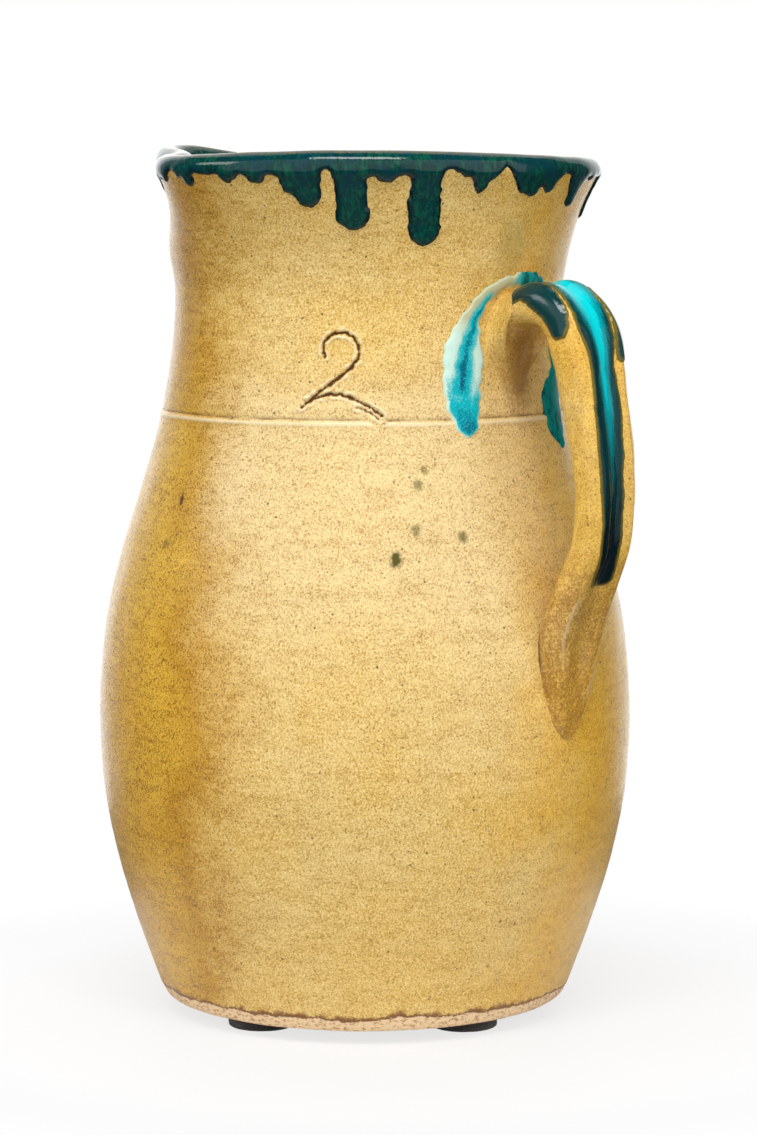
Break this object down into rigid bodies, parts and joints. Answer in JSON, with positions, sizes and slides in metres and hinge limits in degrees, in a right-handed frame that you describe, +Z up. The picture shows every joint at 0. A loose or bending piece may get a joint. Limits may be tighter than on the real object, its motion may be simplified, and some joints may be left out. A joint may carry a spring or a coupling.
{
  "type": "pottery pitcher",
  "caption": "Wheel-thrown stoneware pitcher with a flared, spouted rim under a run teal glaze, a grooved strap handle and felt pads under its foot.",
  "frame": {"origin": "middle of the part's box, on the surface that the felt pads stand on", "axes": "+Z up along the vessel's axis, +X from the spout to the handle, +Y across"},
  "size_m": [0.1808, 0.162, 0.2616],
  "materials": {
    "amber_glaze": "speckled satin glaze over stoneware",
    "teal_glaze": "glossy dark teal run glaze",
    "turquoise_glaze": "glossy turquoise run glaze",
    "black_felt": "pressed felt",
    "adhesive": "adhesive film"
  },
  "bodies": {
    "root": {"thrown_body": "amber_glaze", "strap_handle": "amber_glaze", "rim_glaze": "teal_glaze", "joint_glaze": "turquoise_glaze", "groove_glaze": "turquoise_glaze", "near_ridge_glaze": "teal_glaze", "far_ridge_glaze": "teal_glaze", "felt_pad_1": "black_felt", "felt_pad_2": "black_felt", "felt_pad_3": "black_felt", "felt_pad_4": "black_felt", "felt_pad_5": "black_felt", "pad_adhesive_1": "adhesive", "pad_adhesive_2": "adhesive", "pad_adhesive_3": "adhesive", "pad_adhesive_4": "adhesive", "pad_adhesive_5": "adhesive"}
  },
  "joints": []
}
